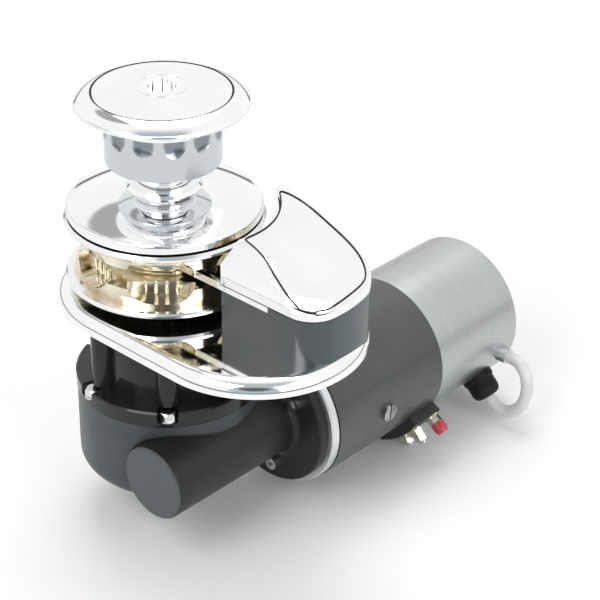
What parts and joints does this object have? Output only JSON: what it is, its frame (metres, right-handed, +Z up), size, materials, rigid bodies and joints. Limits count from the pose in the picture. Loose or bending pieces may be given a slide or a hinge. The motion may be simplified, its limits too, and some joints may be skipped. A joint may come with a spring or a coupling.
{
  "type": "vertical anchor windlass",
  "caption": "Vertical anchor windlass: rope drum over a clutched chain wheel, chain hood on a deck plate, worm gearbox and electric motor below.",
  "frame": {"origin": "the main shaft's axis where it crosses the deck face, the underside of the base plate", "axes": "+X along the base plate towards the chain hood, +Y along the worm and motor away from the gearbox, +Z up along the shaft"},
  "size_m": [0.2069, 0.308, 0.2898],
  "materials": {
    "chrome_deckwork": "polished",
    "bronze_wheel": "polished",
    "dark_casting": "satin",
    "neck_black": "gloss",
    "hood_grey": "satin",
    "motor_grey": "satin",
    "can_metal": "brushed",
    "ring_metal": "cast",
    "stainless": "satin",
    "bright_steel": "ground",
    "gear_bronze": "machined",
    "copper": "lacquered",
    "iron_core": "laminated",
    "magnet": "ground",
    "carbon": "matt",
    "insulator": "matt",
    "boot_rubber": "matt",
    "red_cap": "gloss",
    "terminal_brass": "plated",
    "hose_clear": "translucent"
  },
  "bodies": {
    "frame": {"base_plate": "chrome_deckwork", "chain_hood": "hood_grey", "hood_cap": "chrome_deckwork", "hood_screws": "stainless", "chain_stripper": "chrome_deckwork", "stripper_screws": "stainless", "deck_spacer": "neck_black", "neck_screws": "stainless", "neck_bolts": "stainless", "shaft_seal": "boot_rubber", "gearbox": "dark_casting", "upper_bearing_outer": "bright_steel", "upper_bearing_balls": "bright_steel", "lower_bearing_outer": "bright_steel", "lower_bearing_balls": "bright_steel", "worm_bearing_outer": "bright_steel", "worm_bearing_balls": "bright_steel", "motor_bearing_outer": "bright_steel", "motor_bearing_balls": "bright_steel", "worm_seal": "boot_rubber", "motor_bracket": "ring_metal", "motor_bolts": "stainless", "motor_case": "motor_grey", "motor_cover": "can_metal", "tie_bolts": "stainless", "magnets": "magnet", "brush_plate": "insulator", "brush_holders": "terminal_brass", "brushes": "carbon", "terminal_block": "insulator", "terminal_studs": "stainless", "terminal_nuts": "terminal_brass", "terminal_cap": "red_cap", "cover_screws": "stainless", "cable_boot": "boot_rubber", "hose_nipple": "ring_metal", "drain_hose": "hose_clear"},
    "main_shaft": {"main_shaft": "bright_steel", "drive_keys": "bright_steel", "worm_gear": "gear_bronze", "shaft_spacer": "bright_steel", "lower_cone": "bright_steel", "upper_cone": "bright_steel", "bell_flange": "chrome_deckwork", "rope_drum": "chrome_deckwork", "upper_bearing_inner": "bright_steel", "lower_bearing_inner": "bright_steel"},
    "chain_wheel": {"chain_wheel": "bronze_wheel"},
    "thrust_washer": {"thrust_washer": "gear_bronze"},
    "clutch_cap": {"clutch_cap": "chrome_deckwork"},
    "worm_drive": {"worm": "bright_steel", "drive_coupling": "bright_steel", "motor_shaft": "bright_steel", "armature_core": "iron_core", "armature_winding": "copper", "commutator": "copper", "worm_bearing_inner": "bright_steel", "motor_bearing_inner": "bright_steel"}
  },
  "joints": [
    {"name": "main_shaft_spin", "type": "hinge", "parent": "frame", "child": "main_shaft", "pos_m": [0, 0, 0.0365], "axis": [0, 0, 1], "continuous": true},
    {"name": "chain_wheel_slip", "type": "hinge", "parent": "main_shaft", "child": "chain_wheel", "pos_m": [0, 0, 0.0365], "axis": [0, 0, 1], "continuous": true},
    {"name": "clutch_lift", "type": "slide", "parent": "main_shaft", "child": "thrust_washer", "axis": [0, 0, 1], "range_m": [0, 0.002]},
    {"name": "clutch_cap_turn", "type": "hinge", "parent": "thrust_washer", "child": "clutch_cap", "pos_m": [0, 0, 0.13], "axis": [0, 0, 1], "range_deg": [0, 360]},
    {"name": "worm_spin", "type": "hinge", "parent": "frame", "child": "worm_drive", "pos_m": [0.043, 0, -0.0912], "axis": [0, 1, 0], "continuous": true}
  ],
  "couplings": [
    {"joint": "worm_spin", "follows": "main_shaft_spin", "ratio": -38},
    {"joint": "clutch_lift", "follows": "clutch_cap_turn", "m_per_rad": 0.00031831}
  ]
}
